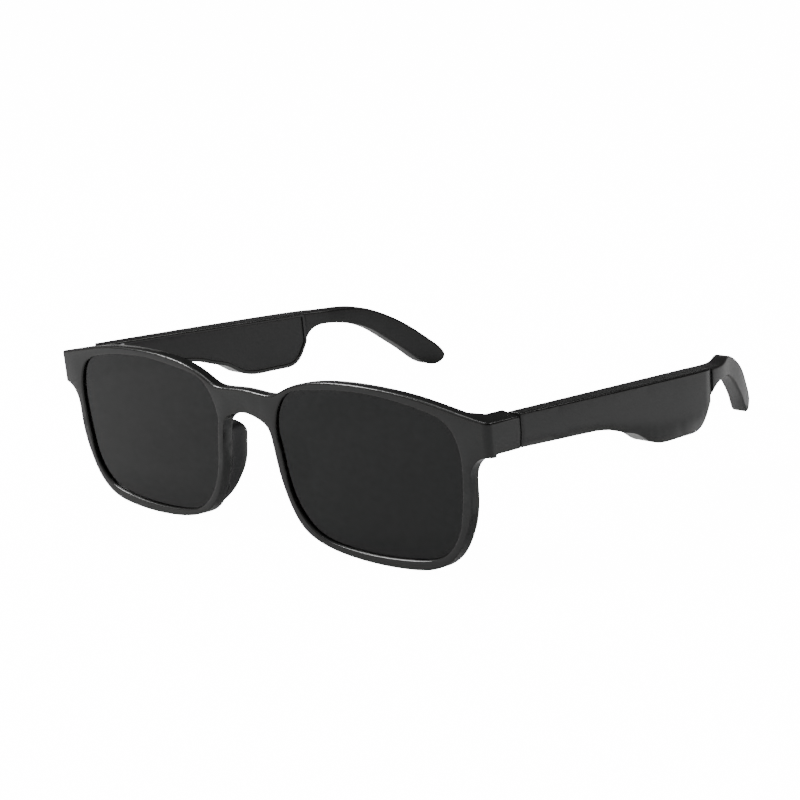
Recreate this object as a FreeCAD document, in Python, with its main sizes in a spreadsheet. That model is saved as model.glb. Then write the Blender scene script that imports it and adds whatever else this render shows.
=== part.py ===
import FreeCAD, Part

import os
from math import cos, hypot, radians, sin, tan

# Audio sunglasses: a moulded front with two lenses, and two folding temples that hold the electronics.
# All lengths are millimetres. Shapes are drawn in the front's own frame: X to the wearer's left, Y back
# along the temples, Z up the front, with the origin at the middle of the front face, level with the top
# of the end pieces. Every sub-part is then placed in the rest frame, where the glasses stand open on a
# table on the bottom of the rims and the ends of the tips, with the origin under the middle.

sizes = {
    "frontWidth": 148.4,       # over the two end pieces
    "frontRadius": 615.0,      # bend of the front, seen from above
    "rimDepth": 3.4,           # front to back of a rim
    "lensInset": 0.9,          # rim face to lens face
    "lensThick": 1.2,
    "lensBite": 0.8,           # how far a lens edge sits in its groove
    "groovePlay": 0.08,
    "rimRound": 0.45,          # rounding of the front edges around the lenses
    "browRound": 0.6,          # rounding of the long edge between the front face and the top
    "edgeRound": 0.5,          # rounding of the temples' top edges
    "cornerRound": 2.0,        # rounding between the front face and the side of an end piece
    "slope": 9.3,              # drop of the temples, in degrees
    "seam": 17.0,              # where the end piece stops, behind the front face
    "seamGap": 0.3,
    "hingeX": 67.7,            # hinge axis
    "hingeY": 18.4,
    "knuckleRadius": 1.5,
    "screwRadius": 0.6,
    "screwPlay": 0.04,
    "leafThick": 0.9,
    "innerFace": 70.5,         # inner face of a temple
    "tipSeam": 100.8,          # where the moulded ear tip starts
    "coverThick": 0.8,
    "coverInset": 0.3,
    "coverGap": 0.08,
    "ledge": 1.0,              # rim of the shell around its cover
    "boardFloor": 73.6,        # depth of the front half of the shell's hollow
    "podFloor": 75.1,          # depth of the pod's hollow
    "wallThick": 1.8,          # ledge and shelf together: the shell's edge walls
    "creaseLean": 6.0,         # how far the side's lower facet leans in, in degrees
    "contactRadius": 1.0,
    "magnetRadius": 1.5,
    "portRadius": 0.4,         # microphone's hole
    "lightRadius": 0.6,
    "buttonLength": 7.0,
    "buttonWidth": 1.2,
    "buttonGap": 0.15,
    "buttonProud": 0.4,
    "buttonPlace": 35.0,       # places of the small fittings along a temple
    "portPlace": 28.6,
    "lightPlace": 26.8,
    "contactPlace": 29.0,
    "contactPitch": 4.0,
    "magnetPlace": 38.9,
    "pinLength": 0.85,         # a little more than the cover, so that contacts and light end behind it
    "hollowStart": 24.4,       # front end of the shell's hollow
    "boardLength": 29.0,
    "boardWidth": 4.0,
    "boardThick": 0.6,
    "batteryLength": 15.6,
    "batteryWidth": 8.0,
    "batteryThick": 2.9,
    "speakerLength": 13.6,
    "speakerWidth": 10.5,
    "speakerRound": 2.0,
    "grilleLength": 10.0,
    "grilleWidth": 1.8,
    "grilleThick": 0.6,
    "grilleHole": 0.45,
    "grillePitch": 1.5,
    "tipRound": 0.7,           # rounding of an ear tip's long edges
    "coreThick": 1.0,
    "tipGroove": 1.5,          # width of the step between a shell and its tip
    "padReach": 10.0,          # back of a nose pad, behind the front face
    "padSplay": 6.0,           # how far the pads open towards the back, in degrees
    "lean": 1.22,              # forward lean of the front when the glasses stand on a table
}

doc = FreeCAD.newDocument("audioSunglasses")
sheet = doc.addObject("Spreadsheet::Sheet", "sheet")
for row, (name, value) in enumerate(sizes.items(), 1):
    sheet.set(f"A{row}", name)
    sheet.set(f"B{row}", str(value))
    sheet.setAlias(f"B{row}", name)
doc.recompute()

sides = {"left": 1, "right": -1}
nodes = {}


def vec(a, b, c=0.0):
    return FreeCAD.Vector(a, b, c)


# Drawing: outlines are closed wires in the sketch's own plane.

def line(*points):
    return Part.makePolygon([vec(*point) for point in points]).Edges


def curve(*points):
    spline = Part.BSplineCurve()
    spline.interpolate([vec(*point) for point in points])
    return [spline.toShape()]


def loop(*runs):
    return Part.Wire(Part.__sortEdges__([edge for run in runs for edge in run]))


def ring(points):
    """A smooth closed curve through the points."""
    spline = Part.BSplineCurve()
    spline.interpolate(Points=[vec(*point) for point in points], PeriodicFlag=True)
    return Part.Wire([spline.toShape()])


def polygon(*points):
    return Part.makePolygon([vec(*point) for point in points + points[:1]])


def other(point):
    return (-point[0], point[1])


def grown(wire, distance):
    return wire.makeOffset2D(distance, 0, False, False)


# Building: every helper adds one object to the document.

def setSize(item, name, value):
    """Gives one size: a number, or an expression on the sheet."""
    if isinstance(value, str):
        item.setExpression(name, value)
    else:
        setattr(item, name, value)


def addSketch(body, plane, wire, offset):
    """A closed outline on one of the body's own planes, moved along that plane's normal."""
    drawn = body.newObject("Sketcher::SketchObject", "outline")
    face = next(item for item in body.Origin.OriginFeatures if item.Role == plane + "_Plane")
    drawn.AttachmentSupport = [(face, "")]
    drawn.MapMode = "FlatFace"
    drawn.AttachmentOffset = FreeCAD.Placement(vec(0, 0, offset), FreeCAD.Rotation())
    for edge in wire.Edges:
        if edge.Curve.TypeId == "Part::GeomLine":
            drawn.addGeometry(Part.LineSegment(edge.Vertexes[0].Point, edge.Vertexes[-1].Point))
        else:
            drawn.addGeometry(edge.Curve.toBSpline(*edge.ParameterRange))
    return drawn


def prism(plane, wire, start, end, side=1, direction=None, bind=None):
    """A body with one outline, drawn for the left side, padded between two places on X, Y or Z.
    bind is the expression that drives its length."""
    body = doc.addObject("PartDesign::Body", "prism")
    if side < 0 and plane == "YZ":
        start, end = -end, -start
    elif side < 0:
        wire = wire.mirror(vec(0, 0), vec(1, 0))
    towardBack = plane == "XZ"  # this plane's own normal points to -Y
    made = body.newObject("PartDesign::Pad", "pad")
    made.Profile = addSketch(body, plane, wire, -start if towardBack else start)
    if direction:
        made.UseCustomVector = True
        made.Direction = direction
    else:
        made.Reversed = towardBack
    setSize(made, "Length", bind or end - start)
    return body


def loft(sections):
    """A body through polygons drawn across the Y axis, given as (y, outline)."""
    body = doc.addObject("PartDesign::Body", "loft")
    drawn = [addSketch(body, "XZ", wire, -y) for y, wire in sections]
    made = body.newObject("PartDesign::AdditiveLoft", "loft")
    made.Profile = drawn[0]
    made.Sections = drawn[1:]
    return body


def box(x0, x1, y0, y1, z0, z1, side=1, **bind):
    """A box between six places; bind gives its Length, Width or Height as an expression."""
    if side < 0:
        x0, x1 = -x1, -x0
    made = doc.addObject("Part::Box", "box")
    for name, size in (("Length", x1 - x0), ("Width", y1 - y0), ("Height", z1 - z0)):
        setSize(made, name, bind.get(name, size))
    made.Placement.Base = vec(x0, y0, z0)
    return made


def rod(base, axis, radius, height, side=1):
    """A cylinder from a point along an axis; radius and height are numbers or expressions."""
    made = doc.addObject("Part::Cylinder", "rod")
    setSize(made, "Radius", radius)
    setSize(made, "Height", height)
    turn = FreeCAD.Rotation(vec(0, 0, 1), vec(axis[0] * side, axis[1], axis[2]))
    made.Placement = FreeCAD.Placement(vec(base[0] * side, base[1], base[2]), turn)
    return made


def inFrame(item, frame):
    """Moves an object that was made at the origin to a local frame of the temple."""
    item.Placement = frame.multiply(item.Placement)
    return item


def common(first, second):
    made = doc.addObject("Part::Common", "common")
    made.Base, made.Tool = first, second
    return made


def cut(first, *tools):
    for tool in tools:
        made = doc.addObject("Part::Cut", "cut")
        made.Base, made.Tool = first, tool
        first = made
    return first


def fuse(*items):
    made = doc.addObject("Part::MultiFuse", "fuse")
    made.Shapes = list(items)
    return made


def rounded(item, radius, wanted):
    """Rounds the edges that the test picks."""
    doc.recompute()
    made = doc.addObject("Part::Fillet", "rounded")
    made.Base = item
    made.Edges = [(number, radius, radius) for number, edge in enumerate(item.Shape.Edges, 1) if wanted(edge)]
    return made


def along(edge, *parts):
    first, last = edge.ParameterRange
    return [edge.valueAt(first + (last - first) * part) for part in parts]


def keep(label, item):
    """Names a finished sub-part; the label is also its file's name."""
    item.Label = label
    nodes[label] = item


# Heights along a temple: Y back, Z up.

dropRatio = tan(radians(sizes["slope"]))
templeStart = sizes["seam"] + sizes["seamGap"]
tipSeam = sizes["tipSeam"]
innerFace = sizes["innerFace"]
underSlope = 10.3              # drop of the temple's straight underside, in degrees


def topAt(y):
    return -0.05 - dropRatio * y


def lowAt(y):
    return -11.55 - tan(radians(underSlope)) * (y - templeStart)


def middleAt(y):
    return (topAt(y) + lowAt(y)) / 2


# The front: a bent band whose end pieces reach back to the temples.

halfWidth = sizes["frontWidth"] / 2
bend = sizes["frontRadius"]
hingeFace = 69.3               # inner face of an end piece

lensOutline = ring([
    (10.5, -13.6), (11.3, -5.9), (15.2, -0.9), (21.5, 0.75), (32.8, 2.0), (44.8, 1.65), (56.1, -0.2),
    (62.6, -3.0), (65.6, -8.6), (66.1, -14.5), (65.3, -23.9), (63.2, -32.2), (58.6, -37.3),
    (50.0, -39.6), (40.1, -40.2), (29.5, -39.65), (21.0, -37.5), (15.2, -31.8), (12.2, -23.9)])

browHalf = [(64.3, 1.2), (54.5, 3.15), (45.1, 4.1), (36.0, 4.35), (26.8, 3.8), (19.5, 2.4), (14.2, 0.3),
            (10.2, -1.6), (5.5, -1.8)]
rimHalf = [(70.6, -10.5), (68.75, -13.2), (68.2, -19.4), (67.4, -25.5), (65.5, -31.2), (62.4, -36.4),
           (57.6, -40.0), (50.0, -41.75), (40.5, -42.2), (31.0, -41.65), (23.0, -40.1), (16.6, -36.8),
           (12.4, -30.2), (10.0, -22.3), (8.75, -14.6), (7.4, -10.6), (3.9, -8.65)]
endTop = (halfWidth, -0.75)
endLow = (halfWidth, -9.4)


def across(half, centre):
    """A run of points from one side to the other, the second half a mirror of the first."""
    return half + [centre] + [other(point) for point in reversed(half)]


def frontOutline(lift):
    """The front's edge, drawn higher by a given lift."""
    brow = [(x, z + lift) for x, z in [endTop, *across(browHalf, (0, -1.5)), other(endTop)]]
    rim = [(x, z + lift) for x, z in [endLow, *across(rimHalf, (0, -7.9)), other(endLow)]]
    return loop(curve(*brow), line(brow[-1], rim[-1]), curve(*reversed(rim)), line(rim[0], brow[0]))


def bandArc(depth, width):
    """An arc that lies a given depth behind the front face, seen from above, and its right end."""
    radius = bend - depth
    points = [vec(x, bend - (radius ** 2 - x ** 2) ** 0.5) for x in (-width, 0.0, width)]
    return [Part.Arc(*points).toShape()], (points[2].x, points[2].y)


def bandPlan(front, back, width):
    """The plan of a bent plate between two depths."""
    outer, outerEnd = bandArc(front, width)
    inner, innerEnd = bandArc(back, width)
    return loop(outer, line(outerEnd, innerEnd), inner, line(other(innerEnd), other(outerEnd)))


def frontPlan():
    """The band with an end piece at each side, as one closed outline, a little wider than the front."""
    wide = halfWidth + 1.0
    outer, outerEnd = bandArc(0.0, wide)
    inner, innerEnd = bandArc(sizes["rimDepth"], 66.6)
    side = [outerEnd, (wide, sizes["seam"]), (hingeFace, sizes["seam"]), (hingeFace, 10.4), innerEnd]
    return loop(outer, line(*side), inner, line(*[other(point) for point in side]))


def makeFront():
    tilt = vec(0, cos(radians(sizes["slope"])), -sin(radians(sizes["slope"])))
    outline = frontOutline(dropRatio)             # as the prism starts 1 mm in front of the face
    blank = common(prism("XY", frontPlan(), -48.0, 8.0), prism("XZ", outline, -1.0, 24.0, direction=tilt))
    under = polygon((7.1, -10.05), (30.0, -10.05 - dropRatio * 22.9), (30.0, -60.0), (7.1, -60.0))
    blank = cut(blank, prism("YZ", under, -80.0, 80.0))
    crease = topAt(7.3) - 4.7
    facet = polygon((halfWidth, crease), (halfWidth + 2, crease), (halfWidth + 2, crease - 10),
                    (halfWidth - 10 * tan(radians(sizes["creaseLean"])), crease - 10))
    for side in sides.values():
        blank = cut(blank, prism("XZ", lensOutline, -5.0, 12.0, side))
        blank = cut(blank, prism("XZ", facet, 7.3, 24.0, side, direction=tilt))

    def onCorner(edge):
        return all(abs(abs(spot.x) - halfWidth) < 0.01 and spot.y < 6 for spot in along(edge, 0.1, 0.9))

    def aroundLens(edge):
        return all(abs(hypot(spot.x, spot.y - bend) - bend) < 0.01 and 8 < abs(spot.x) < 67
                   for spot in along(edge, 0.2, 0.5, 0.8))

    def onBrow(edge):
        return edge.Length > 100 and all(abs(hypot(spot.x, spot.y - bend) - bend) < 0.01 and spot.z > -4
                                         for spot in along(edge, 0.2, 0.5, 0.8))

    blank = rounded(blank, sizes["cornerRound"], onCorner)
    blank = rounded(blank, sizes["rimRound"], aroundLens)
    blank = rounded(blank, sizes["browRound"], onBrow)
    play = sizes["groovePlay"]
    front = sizes["lensInset"]
    back = front + sizes["lensThick"]
    for side in sides.values():
        groove = prism("XZ", grown(lensOutline, sizes["lensBite"] + play), -5.0, 12.0, side)
        blank = cut(blank, common(groove, prism("XY", bandPlan(front - play, back + play, 72.0), -48.0, 8.0)))
    keep("front_frame", blank)
    for name, side in sides.items():
        edge = prism("XZ", grown(lensOutline, sizes["lensBite"]), -5.0, 12.0, side)
        keep("lens_" + name, common(edge, prism("XY", bandPlan(front, back, 72.0), -48.0, 8.0)))


padMiddle = [(9.5, -13.8), (9.7, -18.4), (10.6, -23.8), (12.4, -29.6), (15.4, -35.4)]
# The fin's outline from the side: Y back, Z up.
padProfile = [(1.9, -11.6), (6.0, -13.0), (9.0, -16.4), (10.1, -20.6), (9.4, -25.4), (7.5, -30.4),
              (5.2, -34.8), (1.9, -39.0)]


def padOutline(y, half):
    """The pad's outline at one depth: a band of a given half thickness about the middle line."""
    shift = (y - 2.0) * tan(radians(sizes["padSplay"]))
    shares = [0.8, 1.0, 1.05, 1.0, 0.8]
    nasal = [(x + shift - half * share, z) for (x, z), share in zip(padMiddle, shares)]
    outer = [(x + shift + half * share, z) for (x, z), share in zip(padMiddle, shares)]
    top = (padMiddle[0][0] + shift, padMiddle[0][1] + half)
    low = (padMiddle[-1][0] + shift + half * 0.7, padMiddle[-1][1] - half)
    return ring([top, *nasal, low, *reversed(outer)])


def makeNosePad(name, side):
    """A fin behind the inner side of a rim, splayed to follow the nose and rounded at the back."""
    back = sizes["padReach"]
    sections = [(y, padOutline(y, half)) for y, half in
                ((2.0, 1.35), (back - 2.0, 1.3), (back - 0.6, 1.1), (back, 0.6))]
    if side < 0:
        sections = [(y, wire.mirror(vec(0, 0), vec(1, 0))) for y, wire in sections]
    rim = prism("XY", bandPlan(-4.0, sizes["rimDepth"] + 0.01, 60.0), -48.0, 8.0)
    profile = prism("YZ", loop(curve(*padProfile), line(padProfile[-1], padProfile[0])), 0.0, 40.0, side)
    keep("nose_pad_" + name, cut(common(loft(sections), profile), rim))


# The hinges: two leaves and a screw on each side.

knuckles = [(-10.0, -8.3), (-8.2, -6.2), (-6.1, -4.4)]
plateSpan = (-10.0, -4.4)


def makeHinge(name, side):
    x, y = sizes["hingeX"], sizes["hingeY"]
    thick = sizes["leafThick"]
    plate = box(hingeFace - thick, hingeFace, 11.0, y, *plateSpan, side, Length="sheet.leafThick")
    clear = box(hingeFace - 2 * thick, hingeFace + thick, 16.4, y + 1, -8.3, -6.1, side)
    upward = (0, 0, 1)
    barrels = [rod((x, y, low), upward, "sheet.knuckleRadius", high - low, side) for low, high in knuckles]
    bore = rod((x, y, -12.0), upward, "sheet.screwRadius + 0.02", 12.0, side)
    keep("hinge_front_leaf_" + name, cut(fuse(cut(plate, clear), barrels[0], barrels[2]), bore))

    plate = box(innerFace - thick, innerFace, templeStart + 0.3, 24.0, *plateSpan, side,
                Length="sheet.leafThick")
    arm = box(x, innerFace - thick / 2, y - 0.9, y + 0.9, *knuckles[1], side)
    bore = rod((x, y, -12.0), upward, "sheet.screwRadius + sheet.screwPlay", 12.0, side)
    keep("hinge_temple_leaf_" + name, cut(fuse(plate, arm, barrels[1]), bore))

    shank = rod((x, y, -10.2), upward, "sheet.screwRadius", 5.9, side)
    head = rod((x, y, -4.4), upward, "sheet.screwRadius + 0.5", 0.6, side)
    slots = [box(x - a, x + a, y - b, y + b, -4.1, -3.0, side) for a, b in ((1.0, 0.14), (0.14, 1.0))]
    keep("hinge_screw_" + name, cut(fuse(shank, head), *slots))


# The temples: a moulded shell, an inner cover and a soft tip.

templeLow = [(46.0, lowAt(46.0)), (51.0, -18.0), (55.0, -19.4), (59.0, -21.2), (62.5, -22.5),
             (66.0, -24.3), (70.0, -27.1), (74.0, -28.9), (80.4, -30.2), (88.0, -31.3), (92.4, -31.8),
             (95.9, -31.0), (98.5, -28.8), (tipSeam, -25.6)]


def templeOutline(start):
    """The side of a temple from a given place back to the tip: straight top, pod below."""
    return loop(curve(*templeLow), line(templeLow[-1], (tipSeam, topAt(tipSeam)), (start, topAt(start)),
                                        (start, lowAt(start)), templeLow[0]))


def crossSection(y, outer, creaseDrop, lean):
    """A cut across the temple: flat inside, with a crease along the outside and a leaning lower facet."""
    crease = topAt(y) - creaseDrop
    low = crease - 28.0
    return y, polygon((innerFace, 0.0), (outer, 0.0), (outer, crease),
                      (outer - 28.0 * tan(radians(lean)), low), (innerFace, low))


def templeBlank(side):
    lean = sizes["creaseLean"]
    sections = [crossSection(templeStart - 1.0, halfWidth + 0.1, 4.8, lean),
                crossSection(39.0, 75.2, 5.6, lean * 0.9),
                crossSection(54.0, 75.7, 6.8, lean * 0.6),
                crossSection(71.0, 76.15, 9.0, 0.6),
                crossSection(88.0, 76.5, 10.0, 0.3),
                crossSection(tipSeam + 1.0, 76.3, 10.0, 0.3)]
    if side < 0:
        sections = [(y, wire.mirror(vec(0, 0), vec(1, 0))) for y, wire in sections]
    blank = common(loft(sections), prism("YZ", templeOutline(templeStart), 60.0, 80.0, side))
    return rounded(blank, sizes["edgeRound"], lambda edge: edge.Length > 60 and all(
        abs(spot.z - topAt(spot.y)) < 0.01 for spot in along(edge, 0.2, 0.5, 0.8)))


def makeShell(name, side, openings):
    blank = templeBlank(side)
    outline = templeOutline(sizes["hollowStart"])
    seat = grown(outline, -sizes["ledge"])
    inside = grown(outline, -sizes["wallThick"])
    start = 60.0                                  # clear of the inner face
    hollows = [(seat, innerFace + sizes["coverInset"] + sizes["coverThick"],
                "sheet.innerFace + sheet.coverInset + sheet.coverThick"),
               (inside, sizes["boardFloor"], "sheet.boardFloor"), (inside, sizes["podFloor"], "sheet.podFloor")]
    seat, hollow, pod = [prism("YZ", wire, start, end, side, bind=f"{depth} - {start}")
                         for wire, end, depth in hollows]
    pod = common(pod, box(start, 80.0, 59.5, 99.0, -50.0, 0.0, side))
    keep("temple_shell_" + name, cut(blank, seat, hollow, pod, *openings))


def makeCover(name, side, openings):
    start = innerFace + sizes["coverInset"]
    outline = grown(templeOutline(sizes["hollowStart"]), -sizes["ledge"] - sizes["coverGap"])
    plate = prism("YZ", outline, start, start + sizes["coverThick"], side, bind="sheet.coverThick")
    keep("temple_cover_" + name, cut(plate, *openings))


tipTop = [(106.0, topAt(106.0)), (113.0, -18.4), (120.8, -19.5), (130.0, -23.5), (139.1, -29.8),
          (147.0, -37.2), (150.3, -41.0), (151.0, -43.2), (149.7, -44.8), (147.4, -45.4), (144.9, -44.8),
          (138.2, -39.1), (131.4, -32.9), (126.4, -28.7), (121.0, -25.5), (115.1, -23.5), (110.0, -22.5),
          (106.0, -22.4), (103.0, -23.4), (tipSeam, -25.6)]
tipOuter = [(76.3, tipSeam), (75.9, 106.0), (74.2, 112.5), (70.8, 120.8), (66.2, 135.0), (60.4, 149.5),
            (58.3, 155.0)]
tipInner = [(innerFace, tipSeam), (70.3, 106.0), (69.2, 112.5), (66.4, 119.8), (61.9, 133.6), (56.0, 148.0),
            (53.8, 153.5)]


coreTop = [(107.0, -18.8), (113.0, -19.4), (121.0, -21.4), (129.0, -25.3), (136.0, -30.5), (142.6, -36.6)]
coreLow = [(141.0, -38.6), (134.4, -32.7), (127.6, -27.6), (120.2, -23.7), (112.6, -21.5), (107.0, -20.8)]


def tipCore(side):
    """A flat steel strip that follows the middle of the tip."""
    half = sizes["coreThick"] / 2
    middle = [((a[0] + b[0]) / 2, (a[1] + b[1]) / 2) for a, b in zip(tipOuter, tipInner)][1:6]
    outer = [(x + half, y) for x, y in middle]
    inner = [(x - half, y) for x, y in reversed(middle)]
    plan = loop(curve(*outer), line(outer[-1], inner[0]), curve(*inner), line(inner[-1], outer[0]))
    outline = loop(curve(*coreTop), line(coreTop[-1], coreLow[0]), curve(*coreLow),
                   line(coreLow[-1], coreTop[0]))
    return common(prism("YZ", outline, 40.0, 80.0, side), prism("XY", plan, -60.0, 0.0, side))


def makeTip(name, side):
    outline = loop(curve(*tipTop), line(tipTop[-1], (tipSeam, topAt(tipSeam)), tipTop[0]))
    plan = loop(curve(*tipOuter), line(tipOuter[-1], tipInner[-1]), curve(*reversed(tipInner)),
                line(tipInner[0], tipOuter[0]))
    blank = common(prism("YZ", outline, 40.0, 80.0, side), prism("XY", plan, -60.0, 0.0, side))
    blank = rounded(blank, sizes["tipRound"], lambda edge: edge.Length > 60)
    grooveEnd = tipSeam + sizes["tipGroove"]
    groove = polygon((75.9, tipSeam), (80.0, tipSeam), (80.0, grooveEnd), (75.9, grooveEnd))
    keep("ear_tip_" + name, cut(blank, prism("XY", groove, -60.0, 0.0, side), tipCore(side)))
    keep("tip_core_" + name, tipCore(side))


# What the temples hold.

def localFrame(x, y, z, side, slope):
    """Axes turned so that Y runs down along the temple."""
    return FreeCAD.Placement(vec(x * side, y, z), FreeCAD.Rotation(vec(1, 0, 0), -slope))


def block(frame, lengthX, lengthY, lengthZ, **bind):
    """A box centred on a local frame."""
    made = box(-lengthX / 2, lengthX / 2, -lengthY / 2, lengthY / 2, -lengthZ / 2, lengthZ / 2, **bind)
    return inFrame(made, frame)


def onX(edge):
    """Picks the edges that run across the temple."""
    return abs(edge.tangentAt(0.0).x) > 0.9


def makeBoard(name, side):
    """A narrow board against the hollow's floor, with two chips on its inner face."""
    gap, chipThick, slope = 0.02, 0.8, sizes["slope"]
    thick = sizes["boardThick"]
    boardX = sizes["boardFloor"] - gap - thick / 2
    board = block(localFrame(boardX, 42.0, middleAt(42.0), side, slope), thick, sizes["boardLength"],
                  sizes["boardWidth"], Length="sheet.boardThick", Width="sheet.boardLength",
                  Height="sheet.boardWidth")
    chipX = boardX - (thick + chipThick) / 2
    chips = [block(localFrame(chipX, y, middleAt(y) + 0.4, side, slope), chipThick, length, 2.4)
             for y, length in ((44.0, 4.0), (50.0, 5.0))]
    keep("circuit_board_" + name, fuse(board, *chips))


def makeBattery(name, side):
    """A pouch cell in the front half of the pod, with its two tabs towards the board."""
    x, slope = 73.35, sizes["slope"]
    cell = block(localFrame(x, 72.3, -18.3, side, slope), sizes["batteryThick"], sizes["batteryLength"],
                 sizes["batteryWidth"], Length="sheet.batteryThick", Width="sheet.batteryLength",
                 Height="sheet.batteryWidth")
    tabs = [block(localFrame(x, 64.0, z, side, slope), 0.3, 2.4, 1.2) for z in (-15.5, -18.5)]
    keep("battery_" + name, fuse(cell, *tabs))


def makeSpeaker(name, side):
    """A flat driver in the back half of the pod: its basket, and the raised cone on the inner face."""
    y, z, slope = 88.6, -22.6, sizes["slope"]
    basket = block(localFrame(74.0, y, z, side, slope), 2.0, sizes["speakerLength"], sizes["speakerWidth"],
                   Width="sheet.speakerLength", Height="sheet.speakerWidth")
    cone = block(localFrame(72.7, y, z, side, slope), 0.6, sizes["speakerLength"] - 3.0,
                 sizes["speakerWidth"] - 3.0, Width="sheet.speakerLength - 3",
                 Height="sheet.speakerWidth - 3")
    keep("speaker_" + name, fuse(*[rounded(item, sizes["speakerRound"], onX) for item in (basket, cone)]))


def makeGrille(name, side):
    """A perforated strip set into the pod's underside; returns the slot that it needs."""
    fit = 0.04                                    # the slot's play, both sides together
    width, length, thick = sizes["grilleWidth"], sizes["grilleLength"], sizes["grilleThick"]
    frame = localFrame(73.3, 85.4, -30.95, side, 8.5)
    strip = box(-width / 2, width / 2, -length / 2, length / 2, 0.05, 0.05 + thick,
                Length="sheet.grilleWidth", Width="sheet.grilleLength", Height="sheet.grilleThick")
    slot = box(-(width + fit) / 2, (width + fit) / 2, -(length + fit) / 2, (length + fit) / 2, -1.65, 2.35,
               Length=f"sheet.grilleWidth + {fit}", Width=f"sheet.grilleLength + {fit}")
    holes = [rod((0, step * sizes["grillePitch"], -2.0), (0, 0, 1), "sheet.grilleHole", 4.0)
             for step in range(-3, 4)]
    keep("speaker_grille_" + name, cut(inFrame(strip, frame), *[inFrame(hole, frame) for hole in holes]))
    return inFrame(slot, frame)


def makeButton(name, side):
    """A bar in the underside with a flange behind the wall, and the switch above it; returns its hole."""
    wall, gap = sizes["wallThick"], sizes["buttonGap"]
    halfWide, halfLong = sizes["buttonWidth"] / 2, sizes["buttonLength"] / 2
    flangeReach, top = 0.6, wall + 0.4            # the flange ends level with the bar's top
    y = sizes["buttonPlace"]
    frame = localFrame(72.3, y, lowAt(y), side, underSlope)
    bar = box(-halfWide, halfWide, -halfLong, halfLong, -sizes["buttonProud"], top,
              Length="sheet.buttonWidth", Width="sheet.buttonLength",
              Height="sheet.wallThick + sheet.buttonProud + 0.4")
    flange = box(-halfWide, halfWide, -halfLong - flangeReach, halfLong + flangeReach, wall + 0.06, top,
                 Length="sheet.buttonWidth", Width=f"sheet.buttonLength + 2 * {flangeReach}")
    keep("control_button_" + name, fuse(inFrame(bar, frame), inFrame(flange, frame)))
    travel = 0.38                                 # 0.3 mm of press and a little air
    switch = box(-0.55, 0.55, -1.7, 1.7, top + travel, wall + 1.7)
    keep("button_switch_" + name, inFrame(switch, frame))
    hole = box(-halfWide - gap, halfWide + gap, -halfLong - gap, halfLong + gap, -2.0, wall + 0.5,
               Length="sheet.buttonWidth + 2 * sheet.buttonGap",
               Width="sheet.buttonLength + 2 * sheet.buttonGap")
    return inFrame(hole, frame)


def makeMicrophone(name, side):
    """A capsule on the wall behind its port, towards the front; returns the port."""
    y, wall = sizes["portPlace"], sizes["wallThick"]
    frame = localFrame(72.3, y, lowAt(y), side, underSlope)
    keep("microphone_" + name, inFrame(box(-0.6, 0.6, -1.3, 1.3, wall + 0.02, wall + 1.0), frame))
    return inFrame(rod((0, 0, -1.0), (0, 0, 1), "sheet.portRadius", 4.0), frame)


def makeInnerFittings(name, side):
    """Two charging contacts and a status light through the cover, and a magnet behind it."""
    face = innerFace + sizes["coverInset"]
    inward = (1, 0, 0)

    def through(y, label, radius):
        """A round part through the cover; returns the hole that it needs."""
        z = middleAt(y) - 1.6
        keep(f"{label}_{name}", rod((face, y, z), inward, radius, "sheet.pinLength", side))
        return rod((face - 1.0, y, z), inward, radius + " + sheet.groovePlay", 3.0, side)

    front, rear = sizes["contactPlace"], sizes["contactPlace"] + sizes["contactPitch"]
    holes = [through(front, "charging_contact_front", "sheet.contactRadius"),
             through(rear, "charging_contact_rear", "sheet.contactRadius"),
             through(sizes["lightPlace"], "status_light", "sheet.lightRadius")]
    y = sizes["magnetPlace"]
    place = (face + sizes["coverThick"] + 0.05, y, middleAt(y))
    keep("charging_magnet_" + name, rod(place, inward, "sheet.magnetRadius", 0.9, side))
    return holes


makeFront()
for name, side in sides.items():
    makeNosePad(name, side)
    makeHinge(name, side)
    makeTip(name, side)
    makeBoard(name, side)
    makeBattery(name, side)
    makeSpeaker(name, side)
    makeShell(name, side, [makeGrille(name, side), makeButton(name, side), makeMicrophone(name, side)])
    makeCover(name, side, makeInnerFittings(name, side))
doc.recompute()

# The rest frame: on a table, with the origin under the middle.

lean = FreeCAD.Placement(vec(0, 0, 0), FreeCAD.Rotation(vec(1, 0, 0), sizes["lean"]))
whole = Part.makeCompound([item.Shape for item in nodes.values()])
whole.Placement = lean
extent = whole.optimalBoundingBox(False, False)
rest = FreeCAD.Placement(vec(0, -(extent.YMin + extent.YMax) / 2, -extent.ZMin), lean.Rotation)
for item in nodes.values():
    item.Placement = rest.multiply(item.Placement)
doc.recompute()

failed = [item.Name for item in doc.Objects if {"Invalid", "Error"} & set(item.State)]
for label, item in nodes.items():
    if item.Shape.isNull() or not item.Shape.isValid() or len(item.Shape.Solids) != 1:
        failed.append(label)
if failed:
    raise RuntimeError("failed: " + ", ".join(failed))

os.makedirs("parts", exist_ok=True)
for label, item in nodes.items():
    item.Shape.exportStep(f"parts/{label}.step")
print(len(nodes), "sub-parts; rest frame moved by", rest.Base)
print("size", extent.XLength, extent.YLength, extent.ZLength)
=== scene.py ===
import math

import bpy
from mathutils import Matrix, Vector


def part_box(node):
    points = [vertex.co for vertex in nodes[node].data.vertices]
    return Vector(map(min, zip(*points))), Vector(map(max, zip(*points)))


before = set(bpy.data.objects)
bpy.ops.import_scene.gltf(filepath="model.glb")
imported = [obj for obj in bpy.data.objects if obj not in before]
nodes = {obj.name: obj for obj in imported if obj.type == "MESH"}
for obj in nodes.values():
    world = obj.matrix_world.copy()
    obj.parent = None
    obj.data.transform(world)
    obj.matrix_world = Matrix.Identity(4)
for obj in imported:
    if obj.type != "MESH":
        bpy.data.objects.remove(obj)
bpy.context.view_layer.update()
sideNames = ("left", "right")
print("frame loaded:", len(nodes), "nodes")


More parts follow.
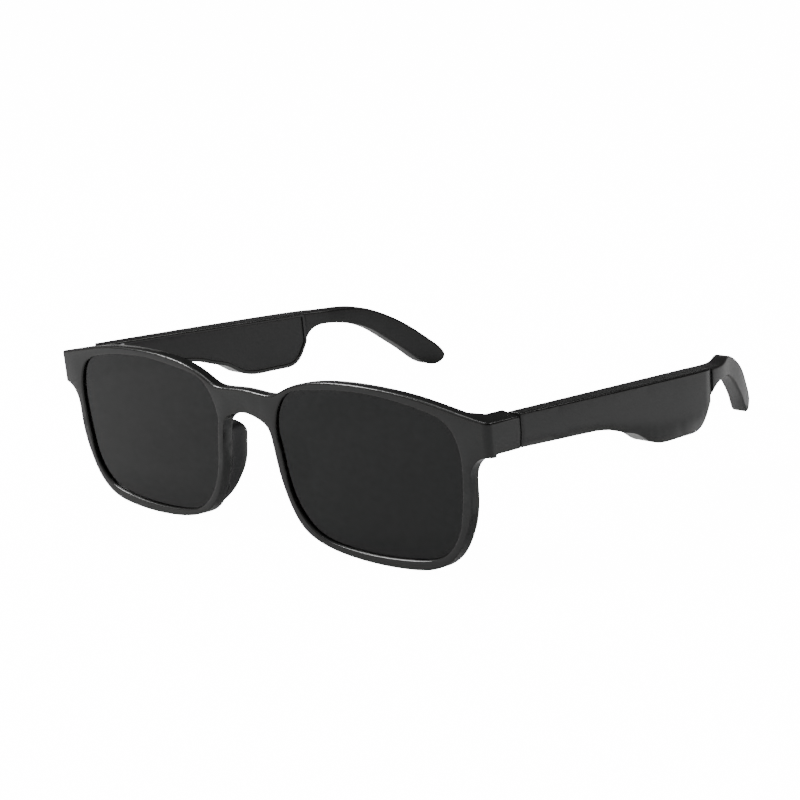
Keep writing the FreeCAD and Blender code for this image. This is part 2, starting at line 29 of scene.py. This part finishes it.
# Small helpers for node trees.
def addNode(tree, kind, **values):
    node = tree.nodes.new(kind)
    for name, value in values.items():
        setattr(node, name, value)
    return node


def setInputs(node, **values):
    for name, value in values.items():
        node.inputs[name].default_value = value
    return node


def newGroup(name, inputs, outputs):
    group = bpy.data.node_groups.new(name, "ShaderNodeTree")
    for label, kind, default in inputs:
        socket = group.interface.new_socket(name=label, in_out="INPUT", socket_type=kind)
        socket.default_value = default
    for label, kind in outputs:
        group.interface.new_socket(name=label, in_out="OUTPUT", socket_type=kind)
    return group, group.nodes.new("NodeGroupInput"), group.nodes.new("NodeGroupOutput")


def scaledNoise(tree, place, scale, detail=3.0, stretch=(1, 1, 1)):
    mapping = setInputs(addNode(tree, "ShaderNodeMapping"), Scale=stretch)
    noise = setInputs(addNode(tree, "ShaderNodeTexNoise"), Scale=scale, Detail=detail)
    tree.links.new(place.outputs["Object"], mapping.inputs["Vector"])
    tree.links.new(mapping.outputs["Vector"], noise.inputs["Vector"])
    return noise


def spreadValue(tree, source, low, high, start=0.0, end=1.0):
    spread = setInputs(addNode(tree, "ShaderNodeMapRange"), **{
        "From Min": start, "From Max": end, "To Min": low, "To Max": high})
    tree.links.new(source, spread.inputs["Value"])
    return spread.outputs["Result"]


grainPattern = {"cloudScale": 55.0, "cloudDetail": 4.0, "pebbleDetail": 3.0, "pebbleRoughness": 0.6}


# Fine moulded texture: cloudy colour, uneven gloss and a pebbled height.
def makeMouldGrain():
    group, start, end = newGroup("mouldGrain", [
        ("Base", "NodeSocketColor", (0.03, 0.03, 0.03, 1)),
        ("Light", "NodeSocketColor", (0.05, 0.05, 0.05, 1)),
        ("Roughness", "NodeSocketFloat", 0.45),
        ("Unevenness", "NodeSocketFloat", 0.08),
        ("Scale", "NodeSocketFloat", 2600.0)], [
        ("Color", "NodeSocketColor"), ("Roughness", "NodeSocketFloat"), ("Height", "NodeSocketFloat")])
    link = group.links.new
    place = addNode(group, "ShaderNodeTexCoord")
    pebble = setInputs(addNode(group, "ShaderNodeTexNoise"), Detail=grainPattern["pebbleDetail"],
                       Roughness=grainPattern["pebbleRoughness"])
    cloud = scaledNoise(group, place, grainPattern["cloudScale"], detail=grainPattern["cloudDetail"])
    mix = addNode(group, "ShaderNodeMix", data_type="RGBA")
    centre = addNode(group, "ShaderNodeMath", operation="SUBTRACT")
    centre.inputs[1].default_value = 0.5  # the middle of the noise, so that gloss varies both ways
    spread = addNode(group, "ShaderNodeMath", operation="MULTIPLY_ADD")
    link(place.outputs["Object"], pebble.inputs["Vector"])
    link(start.outputs["Scale"], pebble.inputs["Scale"])
    link(cloud.outputs["Fac"], mix.inputs["Factor"])
    link(start.outputs["Base"], mix.inputs["A"])
    link(start.outputs["Light"], mix.inputs["B"])
    link(cloud.outputs["Fac"], centre.inputs[0])
    link(centre.outputs[0], spread.inputs[0])
    link(start.outputs["Unevenness"], spread.inputs[1])
    link(start.outputs["Roughness"], spread.inputs[2])
    link(mix.outputs["Result"], end.inputs["Color"])
    link(spread.outputs[0], end.inputs["Roughness"])
    link(pebble.outputs["Fac"], end.inputs["Height"])
    return group


linePattern = {"lineScale": 3800.0, "lineDetail": 2.0, "stretch": (1, 0.04, 1), "smudgeScale": 320.0}


# Brushed or drawn metal: hair lines along one axis, with smudges in the gloss.
def makeHairline():
    group, start, end = newGroup("hairline", [
        ("Dark", "NodeSocketColor", (0.4, 0.4, 0.4, 1)),
        ("Bright", "NodeSocketColor", (0.6, 0.6, 0.6, 1)),
        ("Roughness", "NodeSocketFloat", 0.3),
        ("Smudge", "NodeSocketFloat", 0.12)], [
        ("Color", "NodeSocketColor"), ("Roughness", "NodeSocketFloat"), ("Height", "NodeSocketFloat")])
    link = group.links.new
    place = addNode(group, "ShaderNodeTexCoord")
    lines = scaledNoise(group, place, linePattern["lineScale"], detail=linePattern["lineDetail"],
                        stretch=linePattern["stretch"])
    smudge = scaledNoise(group, place, linePattern["smudgeScale"])
    mix = addNode(group, "ShaderNodeMix", data_type="RGBA")
    rough = addNode(group, "ShaderNodeMath", operation="MULTIPLY_ADD")
    link(lines.outputs["Fac"], mix.inputs["Factor"])
    link(start.outputs["Dark"], mix.inputs["A"])
    link(start.outputs["Bright"], mix.inputs["B"])
    link(smudge.outputs["Fac"], rough.inputs[0])
    link(start.outputs["Smudge"], rough.inputs[1])
    link(start.outputs["Roughness"], rough.inputs[2])
    link(mix.outputs["Result"], end.inputs["Color"])
    link(rough.outputs[0], end.inputs["Roughness"])
    link(lines.outputs["Fac"], end.inputs["Height"])
    return group


wearPattern = {"scale": 420.0, "detail": 5.0, "edgeFrom": 0.52, "edgeTo": 0.62}  # pointiness is 0.5 on a flat


# Handled edges: the worn colour shows where the surface turns sharply, broken up by noise.
def makeEdgeWear():
    group, start, end = newGroup("edgeWear", [
        ("Color", "NodeSocketColor", (0.03, 0.03, 0.03, 1)),
        ("Worn", "NodeSocketColor", (0.06, 0.06, 0.06, 1)),
        ("Amount", "NodeSocketFloat", 0.5)], [("Color", "NodeSocketColor")])
    link = group.links.new
    geometry = addNode(group, "ShaderNodeNewGeometry")
    place = addNode(group, "ShaderNodeTexCoord")
    broken = scaledNoise(group, place, wearPattern["scale"], detail=wearPattern["detail"])
    edge = spreadValue(group, geometry.outputs["Pointiness"], 0.0, 1.0, wearPattern["edgeFrom"],
                       wearPattern["edgeTo"])
    both = addNode(group, "ShaderNodeMath", operation="MULTIPLY")
    mask = addNode(group, "ShaderNodeMath", operation="MULTIPLY", use_clamp=True)
    mix = addNode(group, "ShaderNodeMix", data_type="RGBA")
    link(edge, both.inputs[0])
    link(broken.outputs["Fac"], both.inputs[1])
    link(both.outputs[0], mask.inputs[0])
    link(start.outputs["Amount"], mask.inputs[1])
    link(mask.outputs[0], mix.inputs["Factor"])
    link(start.outputs["Color"], mix.inputs["A"])
    link(start.outputs["Worn"], mix.inputs["B"])
    link(mix.outputs["Result"], end.inputs["Color"])
    return group


mouldGrain = makeMouldGrain()
hairline = makeHairline()
edgeWear = makeEdgeWear()
print("shared node groups made")


def newMaterial(name, metallic=0.0, ior=1.5, transmission=0.0):
    material = bpy.data.materials.new(name)
    material.use_nodes = True
    shader = material.node_tree.nodes["Principled BSDF"]
    shader.inputs["Metallic"].default_value = metallic
    shader.inputs["IOR"].default_value = ior
    shader.inputs["Transmission Weight"].default_value = transmission
    return material, material.node_tree, shader


def addBump(tree, shader, height, look):
    bump = setInputs(addNode(tree, "ShaderNodeBump"), Strength=look["bump"], Distance=look["depth"])
    if "softEdge" in look:
        soft = setInputs(addNode(tree, "ShaderNodeBevel", samples=6), Radius=look["softEdge"])
        tree.links.new(soft.outputs["Normal"], bump.inputs["Normal"])
    tree.links.new(height, bump.inputs["Height"])
    tree.links.new(bump.outputs["Normal"], shader.inputs["Normal"])


# A moulded plastic or rubber: grain, uneven gloss and slightly handled edges.
def mouldedMaterial(name, look):
    material, tree, shader = newMaterial(name, ior=look.get("ior", 1.5))
    grain = addNode(tree, "ShaderNodeGroup", node_tree=mouldGrain)
    setInputs(grain, Base=(*look["base"], 1), Light=(*look["light"], 1), Roughness=look["roughness"],
              Unevenness=look["unevenness"], Scale=look["scale"])
    wear = addNode(tree, "ShaderNodeGroup", node_tree=edgeWear)
    setInputs(wear, Worn=(*look["worn"], 1), Amount=look["wear"])
    tree.links.new(grain.outputs["Color"], wear.inputs["Color"])
    tree.links.new(wear.outputs["Color"], shader.inputs["Base Color"])
    tree.links.new(grain.outputs["Roughness"], shader.inputs["Roughness"])
    addBump(tree, shader, grain.outputs["Height"], look)
    return material


# A metal with drawn hair lines.
def metalMaterial(name, look):
    material, tree, shader = newMaterial(name, metallic=1.0)
    lines = addNode(tree, "ShaderNodeGroup", node_tree=hairline)
    setInputs(lines, Dark=(*look["dark"], 1), Bright=(*look["bright"], 1), Roughness=look["roughness"],
              Smudge=look["smudge"])
    tree.links.new(lines.outputs["Color"], shader.inputs["Base Color"])
    tree.links.new(lines.outputs["Roughness"], shader.inputs["Roughness"])
    addBump(tree, shader, lines.outputs["Height"], look)
    return material


def paint(names, material):
    for name in names:
        nodes[name].data.materials.clear()
        nodes[name].data.materials.append(material)


def bothSides(*stems):
    return [f"{stem}_{side}" for stem in stems for side in sideNames]


framePlastic = {"base": (0.008, 0.008, 0.008), "light": (0.013, 0.013, 0.0125), "worn": (0.025, 0.025, 0.025),
                "wear": 0.5, "roughness": 0.24, "unevenness": 0.10, "scale": 2600.0, "bump": 0.14,
                "depth": 0.00003, "softEdge": 0.00018}
paint(["front_frame", *bothSides("temple_shell")], mouldedMaterial("framePlastic", framePlastic))

coverPlastic = {**framePlastic, "base": (0.009, 0.009, 0.009), "light": (0.014, 0.014, 0.014),
                "roughness": 0.38, "bump": 0.3}
paint(bothSides("temple_cover"), mouldedMaterial("coverPlastic", coverPlastic))

tipRubber = {**framePlastic, "base": (0.009, 0.009, 0.009), "light": (0.014, 0.014, 0.014),
             "roughness": 0.36, "unevenness": 0.06, "scale": 4200.0, "bump": 0.22}
paint(bothSides("ear_tip"), mouldedMaterial("tipRubber", tipRubber))

padSilicone = {**framePlastic, "base": (0.016, 0.016, 0.017), "light": (0.024, 0.024, 0.025),
               "roughness": 0.38, "bump": 0.1}
paint(bothSides("nose_pad"), mouldedMaterial("padSilicone", padSilicone))

buttonPlastic = {**framePlastic, "base": (0.012, 0.012, 0.012), "light": (0.016, 0.016, 0.016),
                 "roughness": 0.25, "bump": 0.08}
paint(bothSides("control_button"), mouldedMaterial("buttonPlastic", buttonPlastic))

switchBody = {**framePlastic, "base": (0.30, 0.29, 0.27), "light": (0.36, 0.35, 0.33), "roughness": 0.5}
paint(bothSides("button_switch"), mouldedMaterial("switchBody", switchBody))

speakerBasket = {**framePlastic, "base": (0.02, 0.02, 0.022), "light": (0.04, 0.04, 0.043), "roughness": 0.5,
                 "scale": 1500.0, "bump": 0.5}
paint(bothSides("speaker"), mouldedMaterial("speakerBasket", speakerBasket))

lightPipe = {**framePlastic, "base": (0.62, 0.62, 0.60), "light": (0.70, 0.70, 0.68), "worn": (0.7, 0.7, 0.7),
             "roughness": 0.3, "bump": 0.05}
paint(bothSides("status_light"), mouldedMaterial("lightPipe", lightPipe))

hingeSteel = {"dark": (0.35, 0.35, 0.36), "bright": (0.55, 0.55, 0.56), "roughness": 0.26, "smudge": 0.16,
              "bump": 0.2, "depth": 0.00002}
paint(bothSides("hinge_front_leaf", "hinge_temple_leaf", "tip_core"), metalMaterial("hingeSteel", hingeSteel))

screwSteel = {**hingeSteel, "dark": (0.42, 0.42, 0.44), "bright": (0.62, 0.62, 0.64), "roughness": 0.18}
paint(bothSides("hinge_screw"), metalMaterial("screwSteel", screwSteel))

contactGold = {**hingeSteel, "dark": (0.78, 0.55, 0.22), "bright": (0.92, 0.70, 0.34), "roughness": 0.2}
paint(bothSides("charging_contact_front", "charging_contact_rear"), metalMaterial("contactGold", contactGold))

magnetNickel = {**hingeSteel, "dark": (0.50, 0.49, 0.46), "bright": (0.64, 0.63, 0.60), "roughness": 0.16}
paint(bothSides("charging_magnet", "microphone"), metalMaterial("magnetNickel", magnetNickel))

cellFoil = {**hingeSteel, "dark": (0.55, 0.55, 0.56), "bright": (0.70, 0.70, 0.71), "roughness": 0.38,
            "bump": 0.5}
paint(bothSides("battery"), metalMaterial("cellFoil", cellFoil))

grilleSteel = {**hingeSteel, "dark": (0.05, 0.05, 0.05), "bright": (0.09, 0.09, 0.09), "roughness": 0.36}
paint(bothSides("speaker_grille"), metalMaterial("grilleSteel", grilleSteel))

boardMask = {"board": (0.006, 0.05, 0.02), "copper": (0.02, 0.11, 0.05), "trackScale": 900.0,
             "trackWidth": 0.06, "glossScale": 700.0, "roughness": 0.3, "unevenness": 0.15, "bump": 0.4,
             "depth": 0.00003}


# A circuit board's lacquer with faint tracks under it.
def makeBoardMaterial(look):
    material, tree, shader = newMaterial("boardMask")
    place = addNode(tree, "ShaderNodeTexCoord")
    tracks = setInputs(addNode(tree, "ShaderNodeTexBrick"), Color1=(*look["board"], 1),
                       Color2=(*look["board"], 1), Mortar=(*look["copper"], 1), Scale=look["trackScale"],
                       **{"Mortar Size": look["trackWidth"]})
    gloss = scaledNoise(tree, place, look["glossScale"])
    rough = spreadValue(tree, gloss.outputs["Fac"], look["roughness"], look["roughness"] + look["unevenness"])
    tree.links.new(place.outputs["Object"], tracks.inputs["Vector"])
    tree.links.new(tracks.outputs["Color"], shader.inputs["Base Color"])
    tree.links.new(rough, shader.inputs["Roughness"])
    addBump(tree, shader, tracks.outputs["Fac"], look)
    return material


paint(bothSides("circuit_board"), makeBoardMaterial(boardMask))

# The edge colour is a painted sheen: the lighter tint at the top of the lens stands in for reflected light.
tintedLens = {"tint": (0.0020, 0.0020, 0.0022), "edge": (0.0045, 0.0045, 0.0048), "ior": 1.42,
              "glossiest": 0.04, "dullest": 0.09, "smearScale": 60.0, "smearDetail": 4.0,
              "smearStretch": (1, 1, 0.3), "bump": 0.02, "depth": 0.00002}


# A dark lens: tint painted a little lighter towards the top as a painted sheen, a clean polish with faint
# smears.
def makeLensMaterial(look):
    material, tree, shader = newMaterial("tintedLens", ior=look["ior"], transmission=1.0)
    place = addNode(tree, "ShaderNodeTexCoord")
    low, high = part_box("lens_left")
    height = addNode(tree, "ShaderNodeSeparateXYZ")
    share = spreadValue(tree, height.outputs["Z"], 0.0, 1.0, low.z, high.z)
    mix = addNode(tree, "ShaderNodeMix", data_type="RGBA")
    # Painted sheen: the tint blends to the lighter edge colour towards the top of the lens.
    setInputs(mix, A=(*look["tint"], 1), B=(*look["edge"], 1))
    smear = scaledNoise(tree, place, look["smearScale"], detail=look["smearDetail"],
                        stretch=look["smearStretch"])
    rough = spreadValue(tree, smear.outputs["Fac"], look["glossiest"], look["dullest"])
    tree.links.new(place.outputs["Object"], height.inputs["Vector"])
    tree.links.new(share, mix.inputs["Factor"])
    tree.links.new(mix.outputs["Result"], shader.inputs["Base Color"])
    tree.links.new(rough, shader.inputs["Roughness"])
    addBump(tree, shader, smear.outputs["Fac"], look)
    return material


paint(bothSides("lens"), makeLensMaterial(tintedLens))
print("materials placed")

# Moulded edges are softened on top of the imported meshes, which stay as they are.
softWidths = {"front_frame": 0.00015, "temple_shell": 0.00015, "temple_cover": 0.00012, "ear_tip": 0.00020,
              "control_button": 0.00015, "nose_pad": 0.00025}
softCut = {"weld": 0.000002, "segments": 2, "sharperThan": 28}  # metres, count, degrees


def soften(node, width):
    weld = node.modifiers.new("weld", "WELD")
    weld.merge_threshold = softCut["weld"]
    bevel = node.modifiers.new("softEdge", "BEVEL")
    bevel.width = width
    bevel.segments = softCut["segments"]
    bevel.limit_method = "ANGLE"
    bevel.angle_limit = math.radians(softCut["sharperThan"])
    bevel.use_clamp_overlap = True
    bevel.harden_normals = True


for stem, width in softWidths.items():
    for name in nodes:
        if name.startswith(stem):
            soften(nodes[name], width)
print("edges softened")

whiteGlow = 15.0  # what the camera sees of floor and room; it lights nothing

floorLook = {"half": 8.0, "color": (0.62, 0.62, 0.62), "roughness": 0.9}


def makeFloor(look):
    half = look["half"]
    corners = [(-half, -half, 0), (half, -half, 0), (half, half, 0), (-half, half, 0)]
    mesh = bpy.data.meshes.new("floor")
    mesh.from_pydata(corners, [], [(0, 1, 2, 3)])
    floor = bpy.data.objects.new("floor", mesh)
    bpy.context.scene.collection.objects.link(floor)
    material, tree, shader = newMaterial("floorPaper")
    setInputs(shader, Roughness=look["roughness"],
              **{"Base Color": (*look["color"], 1), "Emission Color": (1, 1, 1, 1)})
    seen = addNode(tree, "ShaderNodeLightPath")
    glow = addNode(tree, "ShaderNodeMath", operation="MULTIPLY")
    glow.inputs[1].default_value = whiteGlow
    tree.links.new(seen.outputs["Is Camera Ray"], glow.inputs[0])
    tree.links.new(glow.outputs[0], shader.inputs["Emission Strength"])
    mesh.materials.append(material)


roomLook = {"brightFrom": (-0.45, -0.55, 0.70), "fadeFrom": 0.1, "dark": 0.02, "bright": 0.40}


# The room: bright above the front left, dark behind, and white where the camera looks past the floor.
def makeRoom(look):
    world = bpy.data.worlds.new("studio")
    bpy.context.scene.world = world
    world.use_nodes = True
    tree = world.node_tree
    background = setInputs(tree.nodes["Background"], Color=(1, 1, 1, 1))
    place = addNode(tree, "ShaderNodeTexCoord")
    facing = addNode(tree, "ShaderNodeVectorMath", operation="DOT_PRODUCT")
    facing.inputs[1].default_value = Vector(look["brightFrom"]).normalized()
    share = spreadValue(tree, facing.outputs["Value"], look["dark"], look["bright"], look["fadeFrom"])
    seen = addNode(tree, "ShaderNodeLightPath")
    glow = addNode(tree, "ShaderNodeMath", operation="MULTIPLY_ADD")
    glow.inputs[1].default_value = whiteGlow
    tree.links.new(place.outputs["Generated"], facing.inputs[0])
    tree.links.new(seen.outputs["Is Camera Ray"], glow.inputs[0])
    tree.links.new(share, glow.inputs[2])
    tree.links.new(glow.outputs[0], background.inputs["Strength"])


softboxes = {
    "keySoftbox": {"place": (-0.95, -0.80, 1.15), "target": (0, 0, 0), "size": (0.5, 0.5), "power": 32.0},
    "topSoftbox": {"place": (0.02, 0.05, 0.75), "target": (0.02, 0, 0), "size": (0.35, 0.35), "power": 2.0},
    "rimSoftbox": {"place": (0.45, 1.1, 0.95), "target": (0, 0, 0), "size": (0.6, 0.3), "power": 3.0}}


def addSoftbox(name, look):
    light = bpy.data.lights.new(name, "AREA")
    light.shape = "RECTANGLE"
    light.size, light.size_y = look["size"]
    light.energy = look["power"]
    holder = bpy.data.objects.new(name, light)
    bpy.context.scene.collection.objects.link(holder)
    aim = Vector(look["target"]) - Vector(look["place"])
    holder.location = look["place"]
    holder.rotation_euler = aim.to_track_quat("-Z", "Y").to_euler()


makeFloor(floorLook)
makeRoom(roomLook)
for name, look in softboxes.items():
    addSoftbox(name, look)
print("stage set")

cameraView = {"place": (0.3270, -0.3997, 0.1770), "azimuth": 40.32, "elevation": 17.19, "roll": -4.52,
              "lens": 84.92, "sensor": 36.0, "clipStart": 0.01}


def addCamera(view):
    camera = bpy.data.cameras.new("camera")
    camera.lens = view["lens"]
    camera.sensor_width = view["sensor"]
    camera.clip_start = view["clipStart"]
    holder = bpy.data.objects.new("camera", camera)
    bpy.context.scene.collection.objects.link(holder)
    turn = (Matrix.Rotation(math.radians(view["azimuth"]), 4, "Z")
            @ Matrix.Rotation(math.radians(90 - view["elevation"]), 4, "X")
            @ Matrix.Rotation(math.radians(view["roll"]), 4, "Z"))
    holder.matrix_world = Matrix.Translation(view["place"]) @ turn
    bpy.context.scene.camera = holder


addCamera(cameraView)
print("camera placed")
